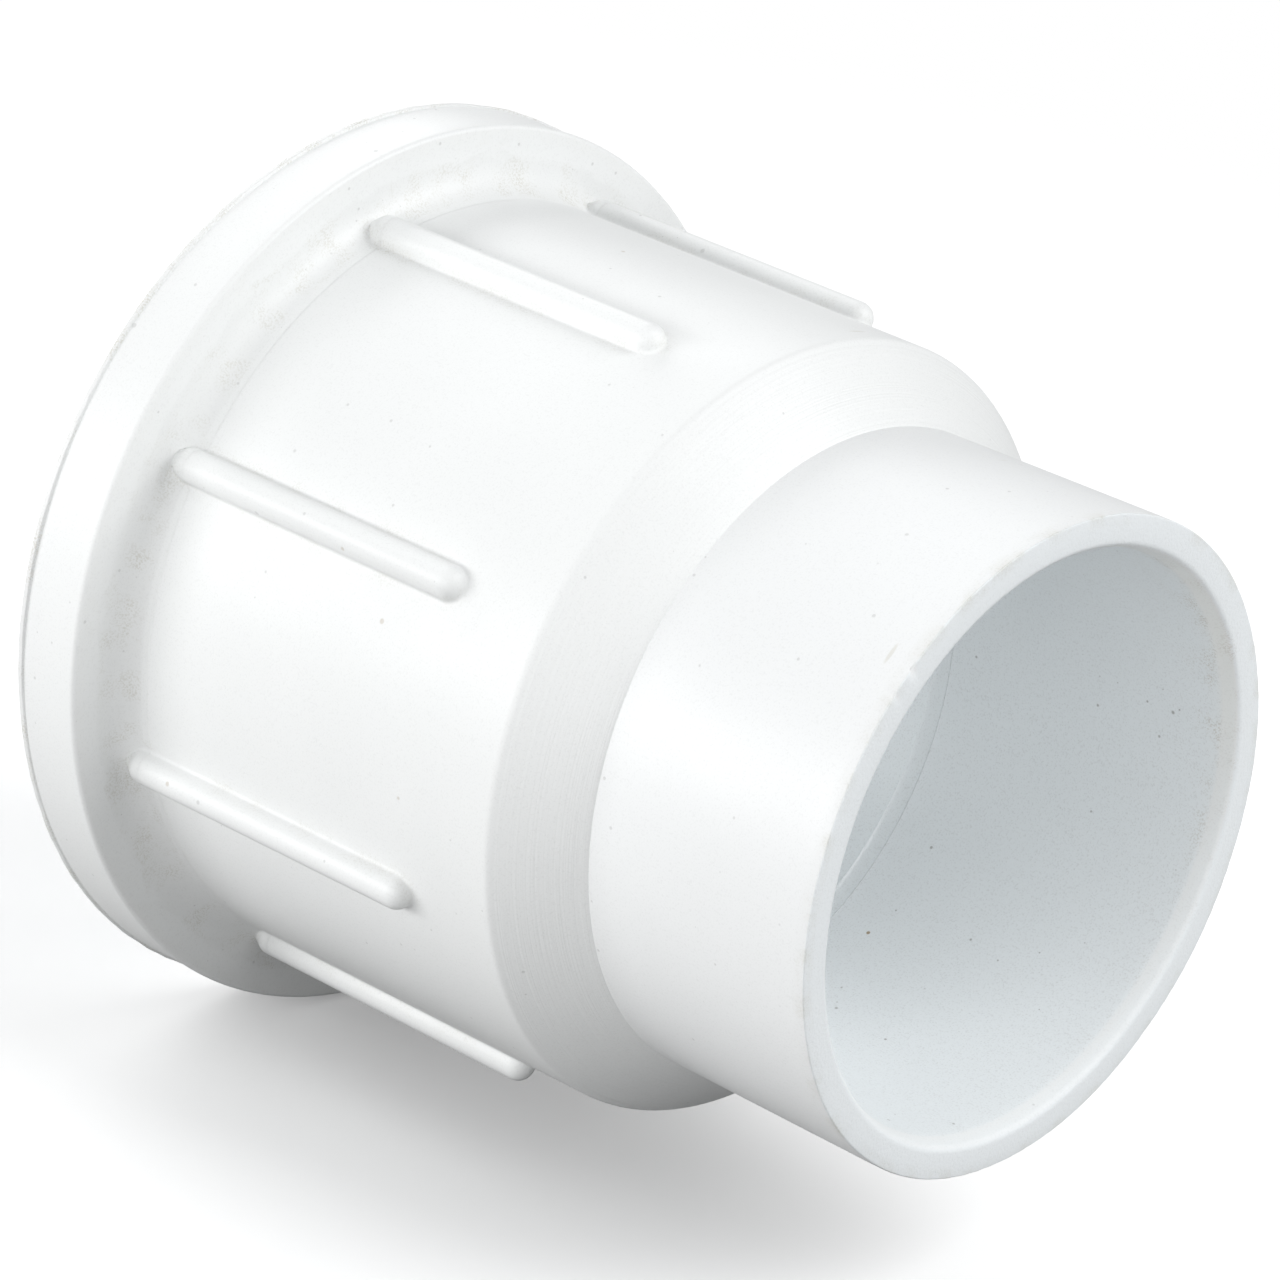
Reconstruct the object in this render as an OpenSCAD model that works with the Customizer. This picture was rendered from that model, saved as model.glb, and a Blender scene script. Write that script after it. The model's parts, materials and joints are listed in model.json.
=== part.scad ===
// Flanged reducing socket for pipe, in millimetres.
// The axis lies along +X. The origin is the centre of the flange's outer face,
// and the pipe socket opens towards +X.

/* [Pipe socket] */
// Bore that the smaller pipe is glued into
socket_bore_d = 60.6; // [60.4:0.1:60.9]
// Outside diameter of the socket sleeve
socket_od = 68.5; // [67:0.1:70]
// Length of socket that stands out of the shoulder
socket_reach = 27.6; // [20:0.1:40]
// How far the lead-in at the mouth widens the bore, on the radius
lead_in_w = 0.5; // [0.2:0.1:1]
// How deep the lead-in reaches into the bore
lead_in_l = 1.4; // [0.5:0.1:3]

/* [Barrel] */
// Distance from the flange's outer face to the edge of the shoulder
barrel_l = 59.1; // [56:0.1:80]
// Barrel diameter at the flange
barrel_d = 83.6; // [83:0.1:88]
// Barrel diameter at the shoulder, smaller by the moulding draft
barrel_tip_d = 82.4; // [82:0.1:83]
// Bore that the larger pipe goes into
chamber_bore_d = 73.3; // [73:0.1:74]
// Depth of the larger bore
chamber_depth = 54.1; // [45:0.1:55]

/* [Flange] */
// Diameter of the flange's rim
flange_d = 98; // [94:0.5:110]
// Thickness of the flange
flange_t = 8.1; // [6:0.1:12]
// Size of the chamfer on the rim's front edge
flange_chamfer = 0.5; // [0.3:0.1:2]
// Height of the thin lip that the mould left at the rim's back edge
flash_h = 0.4; // [0.2:0.1:0.6]
// Width of that lip
flash_w = 0.6; // [0.4:0.1:1]
// Radius of the fillet between the flange and the barrel
root_r = 3; // [1:0.1:4]

/* [Ribs] */
// Number of ribs round the barrel
rib_count = 8; // [4:2:12]
// Width of a rib
rib_w = 3.7; // [3:0.1:5]
// Height of a rib above the barrel
rib_h = 2.2; // [1.9:0.1:2.5]
// Gap between the flange and the start of a rib
rib_gap = 0.6; // [0.3:0.1:2]
// Length of a rib
rib_l = 40; // [25:0.5:42]

/* [Joint] */
// Distance from the end of the chamber to the sleeve's seat
seat_depth = 2.7; // [2:0.1:3.5]
// Width of the small chamfers on the lip and on the sleeve's inner end
edge_break = 0.3; // [0.2:0.1:0.5]

/* [Hidden] */
$fn = 96;
overcut = 1;
socket_r = socket_od / 2;
socket_bore_r = socket_bore_d / 2;
barrel_r = barrel_d / 2;
barrel_tip_r = barrel_tip_d / 2;
chamber_r = chamber_bore_d / 2;
flange_r = flange_d / 2;
// The shoulder is a 45 degree cone from the barrel down to the sleeve.
neck_end = barrel_l + barrel_tip_r - socket_r;
total_l = neck_end + socket_reach;
seat_x = chamber_depth + seat_depth;
rib_r = rib_w / 2;
root_end = flange_t + root_r;
// The barrel tapers by this angle from the flange fillet to the shoulder.
draft = atan((barrel_r - barrel_tip_r) / (barrel_l - root_end));
rib_start = flange_t + rib_gap + rib_r;
rib_span = rib_l - 2 * rib_r;
// The centre line of a rib's round back, where the rib starts.
rib_axis_r = barrel_r + rib_h - rib_r;
// Half a step from the top, so that the ribs are alike on both sides.
rib_step = 360 / rib_count;
first_rib = rib_step / 2;

// Turns a shape that was built up along Z so that it lies along +X.
module along_x() {
    rotate([0, 90, 0])
        children();
}

// The cutter that breaks the edge where the pipe bore starts at z.
module broken_edge(z) {
    translate([0, 0, z])
        cylinder(h = edge_break, r1 = socket_bore_r + edge_break, r2 = socket_bore_r);
}

// The cutter for the shallow lead-in that guides the pipe into the mouth.
module lead_in() {
    translate([0, 0, total_l - lead_in_l])
        cylinder(h = lead_in_l, r1 = socket_bore_r, r2 = socket_bore_r + lead_in_w);
}

// The flange: a disc with a chamfered front edge and the lip at its back edge.
module flange_disc() {
    rim_front = flange_t - flange_chamfer;
    cylinder(h = rim_front, r = flange_r);
    translate([0, 0, rim_front])
        cylinder(h = flange_chamfer, r1 = flange_r, r2 = flange_r - flange_chamfer);
    cylinder(h = flash_w, r = flange_r + flash_h);
}

// The barrel outline: straight through the flange fillet, then tapering by the
// draft, then the 45 degree shoulder down to the sleeve.
module barrel_form() {
    rotate_extrude()
        polygon([
            [0, 0],
            [barrel_r, 0],
            [barrel_r, root_end],
            [barrel_tip_r, barrel_l],
            [socket_r, neck_end],
            [0, neck_end]
        ]);
}

// The hollow fillet that blends the flange into the barrel.
module root_fillet() {
    rotate_extrude()
        difference() {
            translate([barrel_r - overcut, flange_t - overcut])
                square(root_r + overcut);
            translate([barrel_r + root_r, flange_t + root_r])
                circle(r = root_r);
        }
}

// One rib: a round-backed bar with rounded ends, sunk into the barrel and
// leaning in with the draft.
module rib() {
    translate([rib_axis_r, 0, rib_start])
        rotate([0, -draft, 0]) {
            cylinder(h = rib_span, r = rib_r);
            sphere(r = rib_r);
            translate([0, 0, rib_span])
                sphere(r = rib_r);
        }
}

// All the ribs, evenly spaced.
module rib_ring() {
    for (k = [0 : rib_count - 1])
        rotate([0, 0, first_rib + k * rib_step])
            rib();
}

// Everything that is hollow in the body: the chamber, the lip's bore, which
// matches the sleeve's so that a pipe slides past, and the seat for the sleeve.
module body_hollow() {
    translate([0, 0, -overcut])
        cylinder(h = chamber_depth + overcut, r = chamber_r);
    translate([0, 0, chamber_depth - overcut])
        cylinder(h = seat_depth + 2 * overcut, r = socket_bore_r);
    broken_edge(chamber_depth);
    translate([0, 0, seat_x])
        cylinder(h = neck_end - seat_x + overcut, r = socket_r);
}

// The moulded body: flange, ribbed barrel and shoulder.
module flanged_body() {
    color("white")
        along_x()
            difference() {
                union() {
                    flange_disc();
                    barrel_form();
                    root_fillet();
                    rib_ring();
                }
                body_hollow();
            }
}

// The socket: a plain tube, seated in the body against the lip.
module socket_sleeve() {
    color("whitesmoke")
        along_x()
            difference() {
                translate([0, 0, seat_x])
                    cylinder(h = total_l - seat_x, r = socket_r);
                translate([0, 0, seat_x - overcut])
                    cylinder(h = total_l - seat_x + 2 * overcut, r = socket_bore_r);
                broken_edge(seat_x);
                lead_in();
            }
}

flanged_body();
socket_sleeve();
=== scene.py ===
"""Looks for the flanged reducing pipe socket.

Both pieces are rebuilt as closed, finely meshed plastic mouldings around the fixed CAD frame.
The axis runs along +X from the flange's outer face to the mouth of the pipe socket.
Lengths are in millimetres until a mesh is made, and an angle runs from +Z towards -Y.
"""

import json
import math

import bmesh
import bpy
import numpy as np
from mathutils import Euler, Matrix, Vector


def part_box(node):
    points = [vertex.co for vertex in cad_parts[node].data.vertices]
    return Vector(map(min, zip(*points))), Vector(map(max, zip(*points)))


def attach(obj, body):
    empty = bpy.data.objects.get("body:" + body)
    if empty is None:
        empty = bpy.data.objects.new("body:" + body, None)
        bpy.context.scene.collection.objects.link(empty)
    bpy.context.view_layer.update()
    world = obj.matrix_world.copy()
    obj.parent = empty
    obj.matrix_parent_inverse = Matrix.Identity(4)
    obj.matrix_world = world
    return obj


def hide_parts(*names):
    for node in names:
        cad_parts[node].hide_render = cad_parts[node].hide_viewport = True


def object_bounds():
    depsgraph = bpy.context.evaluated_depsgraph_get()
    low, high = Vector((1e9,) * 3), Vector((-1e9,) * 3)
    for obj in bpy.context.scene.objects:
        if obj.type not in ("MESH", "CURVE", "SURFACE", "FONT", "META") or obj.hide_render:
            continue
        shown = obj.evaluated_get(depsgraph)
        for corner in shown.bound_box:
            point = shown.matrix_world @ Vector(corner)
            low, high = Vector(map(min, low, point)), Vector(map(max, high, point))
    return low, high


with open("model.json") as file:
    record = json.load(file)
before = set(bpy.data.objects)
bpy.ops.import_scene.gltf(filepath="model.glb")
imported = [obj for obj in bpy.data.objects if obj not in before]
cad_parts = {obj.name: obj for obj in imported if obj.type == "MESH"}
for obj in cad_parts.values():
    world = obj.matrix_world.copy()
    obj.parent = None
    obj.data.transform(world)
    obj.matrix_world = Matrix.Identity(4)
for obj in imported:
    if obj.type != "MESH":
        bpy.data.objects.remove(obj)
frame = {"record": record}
CAD_LOW, CAD_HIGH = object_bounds()
MM = 0.001

# ---------------------------------------------------------------- sizes, in mm

# From the frame
MOUNTS = {mount["name"]: mount for mount in frame["record"]["mounts"]}
BODY_LOW, BODY_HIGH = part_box("flanged_body")
SLEEVE_LOW, SLEEVE_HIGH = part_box("socket_sleeve")
NECK_X = BODY_HIGH.x / MM
SEAT_X = SLEEVE_LOW.x / MM
MOUTH_X = SLEEVE_HIGH.x / MM
SLEEVE_R = SLEEVE_HIGH.y / MM
LIP_R = min(BODY_HIGH.y, BODY_HIGH.z, -BODY_LOW.y, -BODY_LOW.z) / MM
PIPE_R = MOUNTS["pipe_socket"]["dims"]["r_mm"]
CHAMBER_R = MOUNTS["large_socket"]["dims"]["r_mm"]
CHAMBER_X = MOUNTS["large_socket"]["dims"]["length_mm"]

# Of the flange and the thin lip at its back edge
LIP_H = 0.4
LIP_W = 0.6
LIP_SLOPE = 0.1
LIP_ROUND = 0.15
RIM_R = LIP_R - LIP_H
FLANGE_T = 8.1
EDGE_R = 0.5
BAND_W = 1.9

# Of the barrel
ROOT_R = 3.0
BARREL_R = 41.8
BARREL_TIP_R = 41.2
SHOULDER_X = NECK_X - (BARREL_TIP_R - SLEEVE_R)
SHOULDER_ROUND = 0.9
ROOT_X = FLANGE_T + ROOT_R
DRAFT = math.atan2(BARREL_R - BARREL_TIP_R, SHOULDER_X - ROOT_X)

# Of the ribs: a round crown on two sides that lean in
RIB_COUNT = 8
RIB_HALF_WIDTH = 1.85
RIB_CROWN_R = 1.8
RIB_LEAN = math.radians(6)
RIB_TOP = 2.2
RIB_START = 10.55
RIB_SPAN = 36.3
RIB_AXIS_R = BARREL_R + RIB_TOP - RIB_CROWN_R
RIB_BLEND = 0.35

# Of the bores and the seam between the pieces
STEP_ROUND = 1.2
SEAM_ROUND = 0.1
SEAM_GAP = 0.06

# Of the mouth
LEAD_IN_W = 0.6
LEAD_IN_L = 2.0
MOUTH_EDGE_R = 0.18
MOUTH_ROUND = 0.9
LEAD_IN_ROUND = 3.0

# Of the wear: how deep each kind goes, towards the axis (R) or back along it (X) at the mouth
RIM_WAIST = 0.12
LIP_WEAR = 0.3
EDGE_WEAR_R = 0.06
EDGE_WEAR_X = 0.05
NICK_R = 0.3
NICK_X = 0.35
BEAD_H = 0.12

# The longest stretch between two rows of points
SHOULDER_STEP = 0.2
BODY_STEP = 3.0
SLEEVE_STEP = 1.5


# ------------------------------------------------------------------ mesh tools

ARC_STEP = 12
WELD = 0.002
SHARP_ANGLE = math.radians(35)


def ripple(angle, seed, lowest, highest):
    """A smooth uneven wave round the axis, between about -1 and 1, the same on each run."""
    draw = np.random.default_rng(seed)
    total = np.zeros_like(angle)
    for k in range(lowest, highest + 1):
        total = total + draw.normal() * np.cos(k * angle + draw.uniform(0, 2 * math.pi))
    return total / math.sqrt(highest - lowest + 1)


def bump(value, centre, width):
    """A smooth hill of height 1."""
    return np.exp(-((value - centre) / width) ** 2)


def rounded(corners):
    """An outline through corners (x, r, fillet radius), with every fillet drawn as an arc."""
    outline = [corners[0][:2]]
    for before, corner, after in zip(corners, corners[1:], corners[2:]):
        here = Vector(corner[:2])
        back = (Vector(before[:2]) - here).normalized()
        ahead = (Vector(after[:2]) - here).normalized()
        turn = back.angle(ahead) / 2
        reach = corner[2] / math.tan(turn)
        centre = here + (back + ahead).normalized() * corner[2] / math.sin(turn)
        start = here + back * reach - centre
        end = here + ahead * reach - centre
        steps = max(2, round(math.degrees(math.pi - 2 * turn) / ARC_STEP)) if corner[2] else 0
        for k in range(steps + 1):
            spoke = start.slerp(end, k / steps) * corner[2] if steps else Vector((0, 0))
            outline.append(tuple(centre + spoke))
    outline.append(corners[-1][:2])
    return outline


def divided(outline, step):
    """The same outline with no stretch longer than step."""
    fine = [outline[0]]
    for start, end in zip(outline, outline[1:]):
        pieces = max(1, math.ceil(math.dist(start, end) / step))
        fine += [tuple(Vector(start).lerp(Vector(end), k / pieces)) for k in range(1, pieces + 1)]
    return fine


def around(x, r, angle):
    """Points in the row frame, in metres, from places along and round the axis."""
    return np.stack([x, -r * np.sin(angle), r * np.cos(angle)], axis=-1) * MM


def grid_faces(rows, columns, close_rows, close_columns):
    """Quads of a grid of points, joined up across its ends where it closes."""
    faces = []
    for i in range(rows if close_rows else rows - 1):
        for j in range(columns if close_columns else columns - 1):
            i2, j2 = (i + 1) % rows, (j + 1) % columns
            faces.append((i * columns + j, i * columns + j2, i2 * columns + j2, i2 * columns + j))
    return faces


def lathe(outline, angles, wear, closed):
    """Points and quads of an outline turned round the axis, with wear moving its points."""
    x, r = np.array(outline).T
    shape = (len(x), len(angles))
    angle = np.broadcast_to(angles, shape)
    x, r = wear(np.broadcast_to(x[:, None], shape), np.broadcast_to(r[:, None], shape), angle)
    return around(x, r, angle).reshape(-1, 3), grid_faces(*shape, closed, True)


def solid(name, parts):
    """One closed, smooth mesh piece from lists of points and faces, welded where they meet."""
    points, faces = [], []
    for part_points, part_faces in parts:
        first = len(points)
        points += [tuple(p) for p in part_points]
        faces += [tuple(first + v for v in face) for face in part_faces]
    mesh = bpy.data.meshes.new(name)
    mesh.from_pydata(points, [], faces)
    shape = bmesh.new()
    shape.from_mesh(mesh)
    bmesh.ops.remove_doubles(shape, verts=shape.verts, dist=WELD * MM)
    bmesh.ops.recalc_face_normals(shape, faces=shape.faces)
    shape.to_mesh(mesh)
    shape.free()
    mesh.shade_smooth()
    mesh.set_sharp_from_angle(angle=SHARP_ANGLE)
    piece = bpy.data.objects.new(name, mesh)
    bpy.context.scene.collection.objects.link(piece)
    return piece


def places(piece):
    """Where a piece's points are: along the axis, out from it and round it."""
    co = np.empty(len(piece.data.vertices) * 3)
    piece.data.vertices.foreach_get("co", co)
    x, y, z = co.reshape(-1, 3).T / MM
    return x, np.hypot(y, z), np.arctan2(-y, z)


def paint(piece, name, values):
    """Stores a mask, from 0 to 1 at each point, for the materials to read."""
    layer = piece.data.attributes.new(name, "FLOAT", "POINT")
    layer.data.foreach_set("value", np.clip(values, 0, 1).astype(np.float32))


# ------------------------------------------------------------ ribbed barrel skin

SECTOR = 2 * math.pi / RIB_COUNT
HALF_WIDTH = RIB_AXIS_R * SECTOR / 2
SKIN_MARGIN = 6.0
# How many quads a ring of the skin has across a rib's end, along its side and round a corner
ACROSS = 40
ALONG = 24
CORNER = 9
# Where the rings lie: as shares of the rib's half-width, in mm past its foot, and as shares of
# the rest of the way to the sector's edge
CROWN_RINGS = np.sin(np.radians(np.linspace(6, 84, 14)))
FOOT_RINGS = np.array([0.02, 0.1, 0.2, 0.32, 0.46, 0.62, 0.8, 1.05, 1.4, 1.9])
OUTER_RINGS = (0.12, 0.28, 0.46, 0.64, 0.82, 1)
# The search for the rib's surface starts just short of the fillet's centre
FIRST_LIFT = 0.98 * ROOT_R
LEAST_LIFT = 0.001
LIFT_STEPS = 150


def skin_base(u):
    """The bare surface at a length u past the root fillet: x, r and its normal's x and r."""
    quarter = ROOT_R * math.pi / 2
    turn = np.clip(-u / ROOT_R, 0, math.pi / 2)
    past = np.maximum(u, 0)
    up = np.maximum(-u - quarter, 0)
    x = ROOT_X - ROOT_R * np.sin(turn) + past * math.cos(DRAFT)
    r = BARREL_R + ROOT_R * (1 - np.cos(turn)) + up - past * math.sin(DRAFT)
    lean = np.where(u > 0, DRAFT, turn)
    return x, r, np.sin(lean), np.cos(lean)


def rib_distance(x, r, angle):
    """How far a point is from the rib at angle 0."""
    point = np.stack([x, r * np.sin(angle), r * np.cos(angle)], axis=-1)
    start = np.array([RIB_START, 0, RIB_AXIS_R])
    along = np.array([math.cos(DRAFT), 0, -math.sin(DRAFT)])
    up = np.array([math.sin(DRAFT), 0, math.cos(DRAFT)])
    reach = np.clip((point - start) @ along, 0, RIB_SPAN)
    offset = point - start - reach[..., None] * along
    height = offset @ up
    aside = np.linalg.norm(offset - height[..., None] * up, axis=-1)
    on_side = height * math.cos(RIB_LEAN) < aside * math.sin(RIB_LEAN)
    to_side = aside * math.cos(RIB_LEAN) + height * math.sin(RIB_LEAN)
    return np.where(on_side, to_side, np.hypot(aside, height)) - RIB_CROWN_R


def raise_rib(u, angle):
    """Lifts the bare surface along its normal until it meets the rib, blended at the foot."""
    x, r, nx, nr = skin_base(u)
    lift = np.full_like(x, FIRST_LIFT)
    for _ in range(LIFT_STEPS):
        rib = rib_distance(x + lift * nx, r + lift * nr, angle)
        near = np.maximum(RIB_BLEND - np.abs(lift - rib), 0) / RIB_BLEND
        lift = lift - (np.minimum(lift, rib) - near**2 * RIB_BLEND / 4)
    lift = np.where(lift < LEAST_LIFT, 0, lift)
    return x + lift * nx, r + lift * nr


def sector_columns():
    """Places across a sector, in mm from its middle, closer together near the rib."""
    spread = np.linspace(-1, 1, ACROSS + 1)
    return HALF_WIDTH * (0.65 * spread + 0.35 * spread**3)


def skin_rings():
    """Nested rings round a rib's foot, from its centre line out to the edge of its sector.

    Each ring is a list of (u, s): the length along the barrel and the length round it.
    """
    u_start = RIB_START - ROOT_X
    ends = (u_start, u_start + RIB_SPAN)
    far_s = sector_columns()
    near_u = SKIN_MARGIN * np.linspace(0, 1, CORNER + 1)
    side_u = np.linspace(ends[0], ends[1], ALONG + 1)
    core, edge = [], []
    for sign, end in ((1, ends[1]), (-1, ends[0])):
        corner = [(end + sign * d, -sign * HALF_WIDTH) for d in near_u]
        edge += corner + [(end + sign * SKIN_MARGIN, sign * s) for s in far_s[1:-1]]
        edge += [(u, -s) for u, s in reversed(corner)]
        core += [(end, 0)] * (2 * len(corner) + ACROSS - 1)
        side = side_u[::-1] if sign > 0 else side_u
        edge += [(u, sign * HALF_WIDTH) for u in side[1:-1]]
        core += [(u, 0) for u in side[1:-1]]
    core, edge = np.array(core), np.array(edge)
    away = edge - core
    away /= np.linalg.norm(away, axis=1)[:, None]
    reaches = (*(RIB_HALF_WIDTH * CROWN_RINGS), *(RIB_HALF_WIDTH + FOOT_RINGS))
    rings = [core] + [core + d * away for d in reaches]
    last = rings[-1]
    rings += [last + (edge - last) * share for share in OUTER_RINGS]
    return np.array(rings)


def ribbed_skin():
    """Points and quads of the barrel's skin with all its ribs."""
    rings = skin_rings()
    u, s = rings[..., 0], rings[..., 1]
    x, r = raise_rib(u, s / RIB_AXIS_R)
    faces = grid_faces(*u.shape, False, True)
    parts = []
    for k in range(RIB_COUNT):
        parts.append((around(x, r, s / RIB_AXIS_R + (k + 0.5) * SECTOR).reshape(-1, 3), faces))
    return parts


def skin_angles():
    """The angles at which the skin's end rows have points, all the way round."""
    within = sector_columns()[:-1] / RIB_AXIS_R
    return np.concatenate([within + (k + 0.5) * SECTOR for k in range(RIB_COUNT)])


# -------------------------------------------------------------------- the body

def body_outline():
    """The turned outline from the end of the skin, over the shoulder and round to its start."""
    u_end = RIB_START - ROOT_X + RIB_SPAN + SKIN_MARGIN
    skin_x, skin_r, _, _ = skin_base(np.array(u_end))
    face_r = skin_base(np.array(RIB_START - ROOT_X - SKIN_MARGIN))[1]
    shoulder = rounded([
        (float(skin_x), float(skin_r), 0),
        (SHOULDER_X, BARREL_TIP_R, SHOULDER_ROUND),
        (NECK_X, SLEEVE_R, 0),
    ])
    inside = rounded([
        (NECK_X, SLEEVE_R, 0),
        (SEAT_X, SLEEVE_R, 0),
        (SEAT_X, PIPE_R, SEAM_ROUND),
        (CHAMBER_X, PIPE_R, STEP_ROUND),
        (CHAMBER_X, CHAMBER_R, STEP_ROUND),
        (0, CHAMBER_R, EDGE_R),
        (0, LIP_R, LIP_ROUND),
        (LIP_W, LIP_R, 0.8 * LIP_ROUND),
        (LIP_W + LIP_SLOPE, RIM_R, LIP_ROUND),
        (FLANGE_T, RIM_R, EDGE_R),
        (FLANGE_T, RIM_R - BAND_W, 0),
        (FLANGE_T, float(face_r), 0),
    ])
    return divided(shoulder, SHOULDER_STEP) + divided(inside, BODY_STEP)[1:]


def waisted_rim(x, r):
    """How far the rim sinks between its two edges."""
    start = LIP_W + 0.05
    end = FLANGE_T - EDGE_R
    on_rim = (r > RIM_R - 0.3) & (x > start) & (x < end)
    return np.where(on_rim, RIM_WAIST * np.sin(math.pi * (x - start) / (end - start)), 0)


def ragged_lip(x, r, angle):
    """How much of the thin lip has worn off."""
    on_lip = (r > RIM_R + 0.05) & (x < LIP_W + 0.05)
    ragged = 0.4 + 0.12 * ripple(angle, 5, 20, 120) + 0.3 * ripple(angle, 6, 2, 9)
    return np.where(on_lip, LIP_WEAR * np.clip(ragged, 0, 1), 0)


def turned_shoulder(x, r, angle):
    """The fine waves that a cutting tool left on the shoulder."""
    slope = (x > SHOULDER_X + 0.8) & (x < NECK_X - 0.2) & (r > SLEEVE_R + 0.1)
    cut = 0.006 * np.sin(x * 17.0) + 0.005 * np.sin(x * 7.3 + 1.0)
    return np.where(slope, cut * (0.6 + 0.4 * ripple(angle, 9, 1, 3)), 0)


def body_wear(x, r, angle):
    """Unevenness of the body: the waisted rim, the ragged lip and the turned shoulder."""
    r = r - waisted_rim(x, r)
    r = r - ragged_lip(x, r, angle)
    return x, r + turned_shoulder(x, r, angle)


def paint_body(piece):
    """The body's masks: its dirty corners, which also take painted shade, its turned faces, its
    faint band and its inside.
    """
    x, r, angle = places(piece)
    nearest = (angle / SECTOR - 0.5 - np.round(angle / SECTOR - 0.5)) * SECTOR
    from_rib = rib_distance(x, r, nearest)
    outside = r > BARREL_TIP_R - 1
    rib_foot = bump(from_rib, 0.4, 0.6) * bump(r, BARREL_R, 0.8)
    rib_foot = rib_foot * (1 + bump(x, RIB_START, 3.0))
    root = bump(x, FLANGE_T + 0.9, 1.6) * (r > BARREL_R + 0.1) * (r < BARREL_R + 4)
    lip = (x < LIP_W + 0.15) * (r > RIM_R - 0.1)
    # Dust and grime at the rib feet, in the flange's fillet and on the worn lip, which also take a
    # smooth painted shade, darkest in the fillet.
    paint(piece, "grime_and_shade", outside * np.maximum(np.maximum(0.4 * rib_foot, 0.8 * root), lip))
    paint(piece, "crease", 0.2 * outside * bump(from_rib, 0.1, 0.12) * bump(r, BARREL_R, 0.9))
    on_shoulder = (x > SHOULDER_X + 0.6) & (x < NECK_X) & (r > SLEEVE_R + 0.05)
    paint(piece, "turned", np.maximum(on_shoulder, x < 0.05))
    on_face = (x > FLANGE_T - 0.05) * (r < RIM_R - 0.8 * EDGE_R)
    paint(piece, "band", on_face * (r > RIM_R - BAND_W))
    # The hollow inside, which takes a painted cool shade as well as grain, specks and drag marks.
    paint(piece, "inside", (r < CHAMBER_R + 0.6) & (x < SHOULDER_X))


def make_body():
    """The moulded body: flange, ribbed barrel, shoulder and the hollow inside."""
    turned = lathe(body_outline(), skin_angles(), body_wear, False)
    piece = solid("moulded_body", [turned] + ribbed_skin())
    paint_body(piece)
    return piece


# ------------------------------------------------------------------ the sleeve

SLEEVE_COLUMNS = 480
# The mouth's nicks: angle in degrees, half-width in radians and relative depth
NICKS = ((50, 0.012, 1), (55, 0.01, 0.6))
BEAD_ANGLE = math.radians(-120)
HANDLED_ANGLE = math.radians(-50)
HANDLED_REACH = math.radians(40)


def sleeve_outline():
    """The sleeve's closed outline, from its seat along the outside to the mouth and back."""
    corners = [
        ((SEAT_X + MOUTH_X) / 2, SLEEVE_R, 0),
        (MOUTH_X, SLEEVE_R, MOUTH_EDGE_R),
        (MOUTH_X, PIPE_R + LEAD_IN_W, MOUTH_ROUND),
        (MOUTH_X - LEAD_IN_L, PIPE_R, LEAD_IN_ROUND),
        (SEAT_X + SEAM_GAP, PIPE_R, SEAM_ROUND),
        (SEAT_X, PIPE_R + SEAM_GAP, SEAM_GAP / 2),
        (SEAT_X, SLEEVE_R, 0.05),
        ((SEAT_X + MOUTH_X) / 2, SLEEVE_R, 0),
    ]
    return divided(rounded(corners), SLEEVE_STEP)[:-1]


def seam_bead(x, r, angle):
    """The uneven bead of plastic that stands out of the bore by the seam, on one side."""
    wander = SEAT_X + 1.3 + 0.25 * ripple(angle, 32, 8, 40)
    bead = bump(x, wander, 0.6) * (r < PIPE_R + 0.1)
    bead = bead * bump(angle, BEAD_ANGLE, 0.2) * (1 + 0.4 * ripple(angle, 31, 20, 60))
    return BEAD_H * bead


def sleeve_wear(x, r, angle):
    """Unevenness of the sleeve: the ragged cut edge, its nicks and the bead at the seam."""
    edge = bump(x, MOUTH_X, 0.25) * bump(r, SLEEVE_R, 0.35)
    ragged = np.clip(0.3 + 0.2 * ripple(angle, 21, 25, 150) + 0.3 * ripple(angle, 22, 3, 12), 0, 1)
    nicks = sum(depth * bump(angle, math.radians(at), width) for at, width, depth in NICKS)
    r = r - edge * (EDGE_WEAR_R * ragged + NICK_R * nicks)
    x = x - edge * (EDGE_WEAR_X * ragged + NICK_X * nicks)
    return x, r - seam_bead(x, r, angle)


def paint_sleeve(piece):
    """The sleeve's masks: its cut end, its dirty and rubbed edges and its inside; the cut end, the
    outer edge and the inside also take painted shade.
    """
    x, r, angle = places(piece)
    edge = bump(x, MOUTH_X, 0.25) * bump(r, SLEEVE_R, 0.25)
    # Dust along the mouth's outer edge, which also takes a faint painted shade.
    paint(piece, "grime_and_shade", 0.5 * edge)
    paint(piece, "crease", bump(x, MOUTH_X, 0.2) * bump(r, SLEEVE_R, 0.2))
    # The bore, which takes a painted cool shade as well as grain, specks and drag marks.
    paint(piece, "inside", r < PIPE_R + 0.1)
    # The cut end and the lead-in: saw marks, a duller sheen and a painted cool shade.
    cut_end = (x > MOUTH_X - 0.12) & (r > PIPE_R + LEAD_IN_W)
    cut_lead_in = 0.6 * bump(x, MOUTH_X, 0.8 * LEAD_IN_L) * (r < PIPE_R + LEAD_IN_W + 0.2)
    paint(piece, "sawn", np.maximum(cut_end, cut_lead_in))
    handled = bump(angle, HANDLED_ANGLE, HANDLED_REACH)
    lead_in = bump(x, MOUTH_X - 0.5 * LEAD_IN_L, 0.6 * LEAD_IN_L) * (r < PIPE_R + LEAD_IN_W)
    paint(piece, "lead_in", lead_in * (0.1 + 0.9 * handled))
    bore_start = MOUTH_X - LEAD_IN_L
    rubbed = (bump(x, bore_start, 0.9) + 0.3 * bump(x, bore_start, 5)) * (r < PIPE_R + 0.1)
    worn = bump(r, PIPE_R + LEAD_IN_W, 0.5) * (r > PIPE_R + 0.1)
    paint(piece, "stain", (0.1 + handled) * (rubbed + 0.5 * worn))


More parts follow.
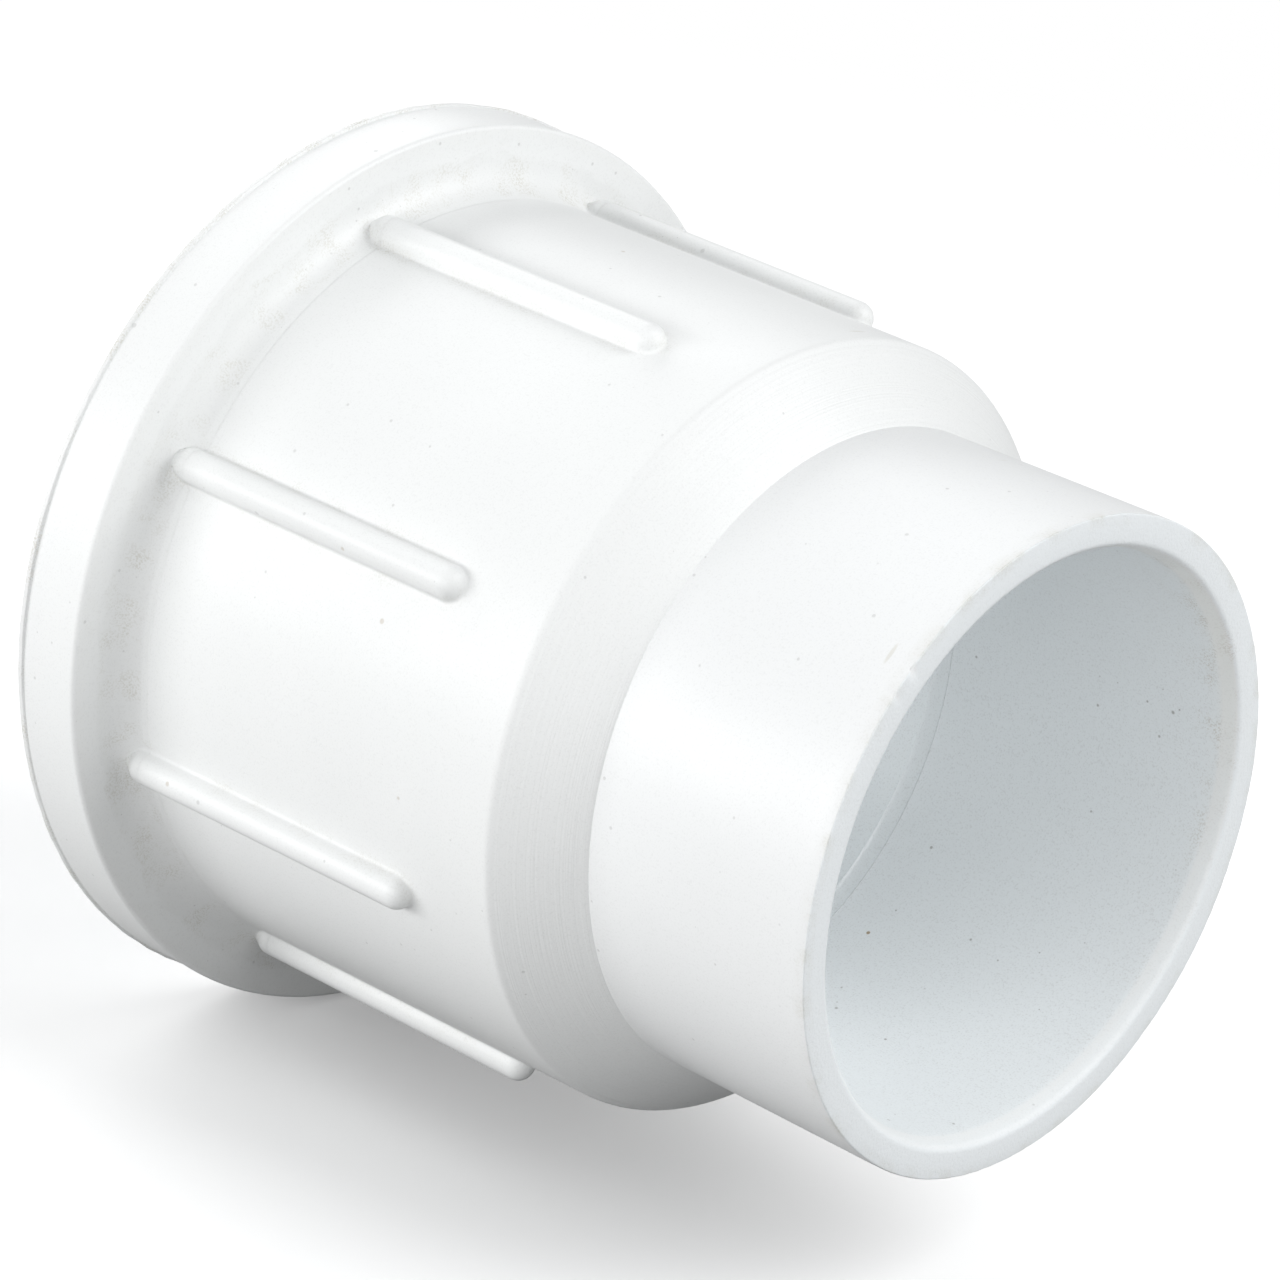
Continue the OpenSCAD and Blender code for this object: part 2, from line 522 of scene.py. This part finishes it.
def make_sleeve():
    """The socket sleeve: a plain tube with a cut end and a lead-in."""
    angles = np.arange(SLEEVE_COLUMNS) * 2 * math.pi / SLEEVE_COLUMNS
    piece = solid("pipe_sleeve", [lathe(sleeve_outline(), angles, sleeve_wear, True)])
    paint_sleeve(piece)
    return piece


# ------------------------------------------------------------------- materials

# Grey dirt, also used for the smooth painted shade in the corners
GREY_DIRT_AND_SHADE = (0.42, 0.42, 0.41, 1)
YELLOW_DIRT = (0.52, 0.49, 0.38, 1)
BROWN_DIRT = (0.36, 0.27, 0.15, 1)
# A painted cool shade for the mouth's cut end face and lead-in
CUT_FACE_COOL_SHADE = (0.87, 0.91, 0.93, 1)
# A painted cool shade, darker and bluer, for the bore and chamber
BORE_COOL_SHADE = (0.84, 0.875, 0.89, 1)
WARM_FACE = (0.93, 0.92, 0.87, 1)
WHITE = (1, 1, 1, 1)
# Cells a millimetre, radius in millimetres, share of the cells that have one, and colour
SPECKS = (
    (0.5, 0.26, 0.4, GREY_DIRT_AND_SHADE),
    (0.2, 0.36, 0.35, GREY_DIRT_AND_SHADE),
    (0.15, 0.36, 0.45, BROWN_DIRT),
)
# Cells a millimetre along and round the axis, radius in millimetres and share of the cells
SCUFFS = ((0.3, 0.05, 0.0), 0.4, 0.2)
ROUND_HAIRS = ((0.4, 0.04, 0.0), 0.07, 0.3)
LONG_HAIRS = ((0.03, 0.5, 0.0), 0.07, 0.3)
# The plastics: lighter and darker tint, roughness, and the height in mm of the moulded skin
BODY_PLASTIC = ((0.885, 0.895, 0.89, 1), (0.86, 0.87, 0.865, 1), 0.43, 0.012)
SLEEVE_PLASTIC = ((0.88, 0.89, 0.89, 1), (0.86, 0.87, 0.87, 1), 0.40, 0.006)
# The height in mm of each kind of mark
TOOL_MARKS = 0.05
SAW_MARKS = 0.05
DRAG_MARKS = 0.02
HAIR_DEPTH = 0.01
UNDERCUT = 0.06
# The floor as the camera sees it, and the share of light that it throws back on the object
PAPER_LOW = (0.91, 0.91, 0.91, 1)
PAPER_HIGH = (0.93, 0.93, 0.93, 1)
FLOOR_GLOW = 0.2
FLOOR_BOUNCE = 0.35
# Distances in metres between which the floor fades to plain white
FADE_START = 0.15
FADE_END = 0.6


class Graph:
    """A material's node tree, built by naming nodes and what feeds them."""

    def __init__(self, name):
        self.material = bpy.data.materials.new(name)
        self.material.use_nodes = True
        self.tree = self.material.node_tree
        self.tree.nodes.clear()

    def add(self, kind, inputs=None, **settings):
        """Adds one node, sets its inputs by name or number, and returns it."""
        node = self.tree.nodes.new("ShaderNode" + kind)
        for key, value in settings.items():
            setattr(node, key, value)
        for key, value in (inputs or {}).items():
            if isinstance(value, bpy.types.NodeSocket):
                self.tree.links.new(value, node.inputs[key])
            else:
                node.inputs[key].default_value = value
        return node

    def math(self, operation, *values):
        """A maths node's result."""
        node = self.add("Math", dict(enumerate(values)), operation=operation)
        return node.outputs[0]

    def mix(self, share, low, high):
        """A colour between low and high."""
        inputs = {0: share, 6: low, 7: high}
        return self.add("Mix", inputs, data_type="RGBA").outputs[2]

    def ramp(self, value, low, high):
        """0 where value is under low, 1 where it is over high, and smooth between."""
        inputs = {"Value": value, "From Min": low, "From Max": high}
        node = self.add("MapRange", inputs, interpolation_type="SMOOTHSTEP")
        return node.outputs["Result"]

    def mask(self, name):
        """A mask that was painted on the mesh. It is 0 on a mesh that doesn't have it."""
        return self.add("Attribute", attribute_name=name).outputs["Fac"]

    def noise(self, where, scale, detail=2.0):
        """Noise, with scale in cycles a millimetre."""
        inputs = {"Vector": where, "Scale": scale, "Detail": detail}
        return self.add("TexNoise", inputs).outputs["Fac"]

    def stretched(self, where, stretch):
        """Places scaled by a different amount along each axis."""
        return self.add("Mapping", {"Vector": where, "Scale": stretch}).outputs[0]


def unrolled(graph, axes):
    """Places on the unrolled barrel, in mm: along the axis and round it."""
    turn = graph.math("ARCTAN2", graph.math("MULTIPLY", axes["Y"], -1.0), axes["Z"])
    inputs = {"X": axes["X"], "Y": graph.math("MULTIPLY", turn, BARREL_TIP_R), "Z": 0.0}
    return graph.add("CombineXYZ", inputs).outputs[0]


def specks(graph, where, scale, radius, share):
    """Sparse marks of a radius in mm: 1 inside a mark. Only a share of the cells has one.

    The scale is in cells a millimetre. One that differs between axes stretches the marks.
    """
    stretched = graph.stretched(where, scale)
    cells = graph.add("TexVoronoi", {"Vector": stretched, "Scale": 1.0})
    pick = graph.add("SeparateColor", {"Color": cells.outputs["Color"]}).outputs
    chosen = graph.math("LESS_THAN", pick[0], share)
    size = graph.math("MULTIPLY", pick[1], radius * max(scale))
    inside = graph.ramp(graph.math("DIVIDE", cells.outputs["Distance"], size), 1.0, 0.5)
    return graph.math("MULTIPLY", chosen, inside)


def stained(graph, colour, amount, strength, stain):
    """The colour, covered by a stain where amount is 1."""
    return graph.mix(graph.math("MULTIPLY", amount, strength), colour, stain)


class Plastic(Graph):
    """The node tree of a white plastic, with the places, noises and masks that it uses twice."""

    def __init__(self, name):
        super().__init__(name)
        place = self.add("TexCoord").outputs["Object"]
        in_mm = self.add("VectorMath", {0: place, "Scale": 1 / MM}, operation="SCALE")
        self.where = in_mm.outputs[0]
        self.axes = self.add("SeparateXYZ", {0: self.where}).outputs
        self.flat = unrolled(self, self.axes)
        self.fine = self.noise(self.where, 5.0, 4.0)
        self.patches = self.ramp(self.noise(self.where, 0.3, 3.0), 0.42, 0.68)
        self.dust = self.math("MULTIPLY", self.patches, self.ramp(self.fine, 0.42, 0.62))
        self.sawn = self.mask("sawn")
        self.inside = self.mask("inside")
        self.dusty = self.math("MULTIPLY", self.mask("grime_and_shade"), self.dust)
        long_hairs = specks(self, self.flat, *LONG_HAIRS)
        self.hairs = self.math("MAXIMUM", long_hairs, specks(self, self.flat, *ROUND_HAIRS))


def clean_colour(graph, tint, shade):
    """The plastic's colour: its broad mottle and grain, with painted cool shade on its cut faces
    and in its bore.
    """
    broad = graph.ramp(graph.noise(graph.where, 0.03, 3.0), 0.35, 0.65)
    colour = graph.mix(broad, tint, shade)
    # Painted shade: a cool blue-grey tint on the cut end face and the lead-in.
    colour = stained(graph, colour, graph.sawn, 0.7, CUT_FACE_COOL_SHADE)
    # Painted shade: the bore and chamber darker and bluer than the outside.
    colour = stained(graph, colour, graph.inside, 0.8, BORE_COOL_SHADE)
    colour = stained(graph, colour, graph.mask("lead_in"), 0.6, WARM_FACE)
    grain = graph.ramp(graph.fine, 0.5, 0.7)
    amount = graph.math("MULTIPLY_ADD", graph.inside, 0.12, 0.1)
    return stained(graph, colour, grain, amount, GREY_DIRT_AND_SHADE)


def dirty_colour(graph, colour):
    """Dust and a smooth painted shade in the corners, a faint band on the flange and brown stains
    at the mouth.
    """
    colour = stained(graph, colour, graph.dusty, 0.4, YELLOW_DIRT)
    # Painted shade: a smooth grey tone over the whole grime mask, darkest in the flange's fillet.
    colour = stained(graph, colour, graph.mask("grime_and_shade"), 0.1, GREY_DIRT_AND_SHADE)
    crease = graph.math("MULTIPLY", graph.mask("crease"), graph.patches)
    colour = stained(graph, colour, crease, 0.35, YELLOW_DIRT)
    colour = stained(graph, colour, graph.mask("band"), 0.03, YELLOW_DIRT)
    rubbed = graph.math("MULTIPLY", graph.mask("stain"), graph.dust)
    return stained(graph, colour, rubbed, 0.4, BROWN_DIRT)


def marked_colour(graph, colour):
    """Specks, which are darkest inside the bore, with scuffs and hairline scratches."""
    depth = graph.math("MULTIPLY_ADD", graph.inside, 0.55, 0.35)
    for scale, radius, share, dirt in SPECKS:
        dots = specks(graph, graph.where, (scale,) * 3, radius, share)
        colour = stained(graph, colour, graph.math("MULTIPLY", dots, depth), 1.0, dirt)
    colour = stained(graph, colour, specks(graph, graph.flat, *SCUFFS), 0.3, YELLOW_DIRT)
    return stained(graph, colour, graph.hairs, 0.3, GREY_DIRT_AND_SHADE)


def plastic_roughness(graph, roughness):
    """A slightly uneven sheen, duller where the plastic is sawn or dusty."""
    rough = graph.math("MULTIPLY_ADD", graph.noise(graph.where, 0.12, 4.0), 0.16, roughness - 0.08)
    rough = graph.math("ADD", rough, graph.math("MULTIPLY", graph.sawn, 0.35))
    return graph.math("ADD", rough, graph.math("MULTIPLY", graph.dusty, 0.2))


def parting_line(graph):
    """A small undercut outside, where the flange's fillet ends and the barrel starts."""
    past_line = graph.math("SUBTRACT", graph.axes["X"], ROOT_X)
    rise = graph.math("MAXIMUM", graph.math("ADD", past_line, 1.0), 0.0)
    undercut = graph.math("MULTIPLY", rise, graph.ramp(past_line, 0.3, 0.0))
    return graph.math("MULTIPLY", undercut, graph.math("SUBTRACT", 1.0, graph.inside))


def plastic_relief(graph, peel):
    """The height in mm of the moulded skin, with tool, drag and saw marks and scratches."""
    height = graph.math("MULTIPLY", graph.noise(graph.where, 0.7, 3.0), peel)
    rings = graph.noise(graph.stretched(graph.where, (6.0, 0.02, 0.02)), 1.0, 3.0)
    drag = graph.noise(graph.stretched(graph.where, (0.12, 2.5, 2.5)), 1.0, 2.0)
    marks = (
        (rings, graph.mask("turned"), TOOL_MARKS),
        (drag, graph.inside, DRAG_MARKS),
        (graph.noise(graph.where, 3.0, 4.0), graph.sawn, SAW_MARKS),
    )
    for pattern, mask, depth in marks:
        height = graph.math("MULTIPLY_ADD", graph.math("MULTIPLY", pattern, mask), depth, height)
    height = graph.math("MULTIPLY_ADD", graph.hairs, -HAIR_DEPTH, height)
    return graph.math("MULTIPLY_ADD", parting_line(graph), -UNDERCUT, height)


def white_plastic(name, tint, shade, roughness, peel):
    """White moulded plastic with dust and painted shade in its corners, painted cool shade on its
    cut faces and in its bore, specks, scratches and tool marks.
    """
    graph = Plastic(name)
    colour = clean_colour(graph, tint, shade)
    colour = dirty_colour(graph, colour)
    colour = marked_colour(graph, colour)
    height = plastic_relief(graph, peel)
    relief = graph.add("Bump", {"Height": height, "Distance": MM, "Strength": 1.0})
    shader = graph.add("BsdfPrincipled", {
        "Base Color": colour,
        "Roughness": plastic_roughness(graph, roughness),
        "Normal": relief.outputs["Normal"],
        "IOR": 1.5,
        "Specular IOR Level": 0.4,
    })
    graph.add("OutputMaterial", {"Surface": shader.outputs[0]})
    return graph.material


def floor_material():
    """Pale paper with the faintest mottle, which fades to white away from the object.

    The object itself only gets the little light that a darker floor would throw back.
    """
    graph = Graph("pale_floor")
    place = graph.add("TexCoord").outputs["Object"]
    mottle = graph.add("TexNoise", {"Vector": place, "Scale": 40.0}).outputs["Fac"]
    paper = graph.add("BsdfPrincipled", {
        "Base Color": graph.mix(mottle, PAPER_LOW, PAPER_HIGH),
        "Roughness": 0.9,
        "Emission Color": WHITE,
        "Emission Strength": FLOOR_GLOW,
    })
    distance = graph.add("VectorMath", {0: place}, operation="LENGTH").outputs["Value"]
    far = graph.ramp(distance, FADE_START, FADE_END)
    white = graph.add("Emission", {"Color": WHITE, "Strength": 1.0})
    faded = graph.add("MixShader", {0: far, 1: paper.outputs[0], 2: white.outputs[0]})
    bounce = graph.add("BsdfDiffuse", {"Color": (FLOOR_BOUNCE, FLOOR_BOUNCE, FLOOR_BOUNCE, 1)})
    seen = graph.add("LightPath").outputs["Is Camera Ray"]
    both = graph.add("MixShader", {0: seen, 1: bounce.outputs[0], 2: faded.outputs[0]})
    graph.add("OutputMaterial", {"Surface": both.outputs[0]})
    return graph.material


# ------------------------------------------------------------ stage and camera

# The camera stands this many mm from the mouth's centre, this far off the axis and round it
VIEW_DISTANCE = 491.0
VIEW_OFF_AXIS = math.radians(57.58)
VIEW_ROUND = math.radians(67.5)
# Its upward and forward directions, each as its shares away from the axis, round it and along it
VIEW_UP = (0.2554, -0.9106, -0.3248)
VIEW_AHEAD = (-0.7931, -0.0052, -0.6090)
LENS = 142.6
SENSOR = 36.0
FLOOR_SIZE = 12.0
SKY_COLOUR = (0.97, 0.985, 1.0, 1)
SKY_LIGHT = 0.43
SKY_SEEN = 1.03
PANEL_DISTANCE = 0.9
# Name, azimuth and elevation in degrees, power in watts, width and height in metres
PANELS = (
    ("left_panel", 236, 7, 3.45, 0.6, 0.28),
    ("right_panel", 22, 42, 5.1, 0.6, 0.6),
    ("back_panel", 165, 25, 3.9, 0.8, 0.6),
    ("front_panel", 284, 6, 2.8, 0.8, 0.26),
)


def direction(off_axis, angle):
    """A unit vector at an angle from the +X axis, turned round it from the top."""
    across = math.sin(off_axis)
    return Vector((math.cos(off_axis), -across * math.sin(angle), across * math.cos(angle)))


def add_camera():
    """The camera, placed as far from the mouth and as far off the axis as in the photograph."""
    data = bpy.data.cameras.new("camera")
    data.lens = LENS
    data.sensor_width = SENSOR
    data.clip_start = 0.01
    data.clip_end = 20.0
    camera = bpy.data.objects.new("camera", data)
    bpy.context.scene.collection.objects.link(camera)
    outward = direction(math.pi / 2, VIEW_ROUND)
    sideways = Vector((0, -math.cos(VIEW_ROUND), -math.sin(VIEW_ROUND)))
    frame_axes = Matrix((outward, sideways, (1, 0, 0))).transposed()
    ahead = (frame_axes @ Vector(VIEW_AHEAD)).normalized()
    right = ahead.cross(frame_axes @ Vector(VIEW_UP)).normalized()
    up = right.cross(ahead)
    basis = Matrix((right, up, -ahead)).transposed()
    mouth = Vector((MOUTH_X, 0, 0))
    place = (mouth + direction(VIEW_OFF_AXIS, VIEW_ROUND) * VIEW_DISTANCE) * MM
    camera.matrix_world = Matrix.Translation(place) @ basis.to_4x4()
    bpy.context.scene.camera = camera


def add_panel(name, azimuth, elevation, power, width, height):
    """A soft panel that faces the middle of the object. Azimuth 0 is +X and 90 is +Y."""
    data = bpy.data.lights.new(name, "AREA")
    data.shape = "RECTANGLE"
    data.size = width
    data.size_y = height
    data.energy = power
    panel = bpy.data.objects.new(name, data)
    bpy.context.scene.collection.objects.link(panel)
    turn = Euler((0, -math.radians(elevation), math.radians(azimuth)))
    offset = Vector((PANEL_DISTANCE, 0, 0))
    offset.rotate(turn)
    panel.location = (CAD_LOW + CAD_HIGH) / 2 + offset
    panel.rotation_mode = "QUATERNION"
    panel.rotation_quaternion = offset.to_track_quat("Z", "Y")
    panel.visible_camera = False


def add_floor():
    """A wide pale floor that the flange's rim stands on."""
    bpy.ops.mesh.primitive_plane_add(size=FLOOR_SIZE, location=(0, 0, CAD_LOW.z))
    floor = bpy.context.object
    floor.name = "floor"
    floor.data.materials.append(floor_material())


def add_world():
    """Faint even light from all sides. The camera sees it as white."""
    world = bpy.data.worlds.new("studio")
    bpy.context.scene.world = world
    world.use_nodes = True
    tree = world.node_tree
    strength = tree.nodes.new("ShaderNodeMath")
    strength.operation = "MULTIPLY_ADD"
    strength.inputs[1].default_value = SKY_SEEN - SKY_LIGHT
    strength.inputs[2].default_value = SKY_LIGHT
    rays = tree.nodes.new("ShaderNodeLightPath")
    tree.links.new(rays.outputs["Is Camera Ray"], strength.inputs[0])
    tree.links.new(strength.outputs[0], tree.nodes["Background"].inputs["Strength"])
    tree.nodes["Background"].inputs["Color"].default_value = SKY_COLOUR


def add_stage():
    """Floor, lights, world and camera."""
    add_floor()
    add_world()
    for panel in PANELS:
        add_panel(*panel)
    add_camera()
    view = bpy.context.scene.view_settings
    view.view_transform = "Standard"
    view.look = "None"


# ----------------------------------------------------------------------- build

body = make_body()
body.data.materials.append(white_plastic("moulded_plastic", *BODY_PLASTIC))
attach(body, "root")
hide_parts("flanged_body")

sleeve = make_sleeve()
sleeve.data.materials.append(white_plastic("tube_plastic", *SLEEVE_PLASTIC))
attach(sleeve, "root")
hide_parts("socket_sleeve")

add_stage()
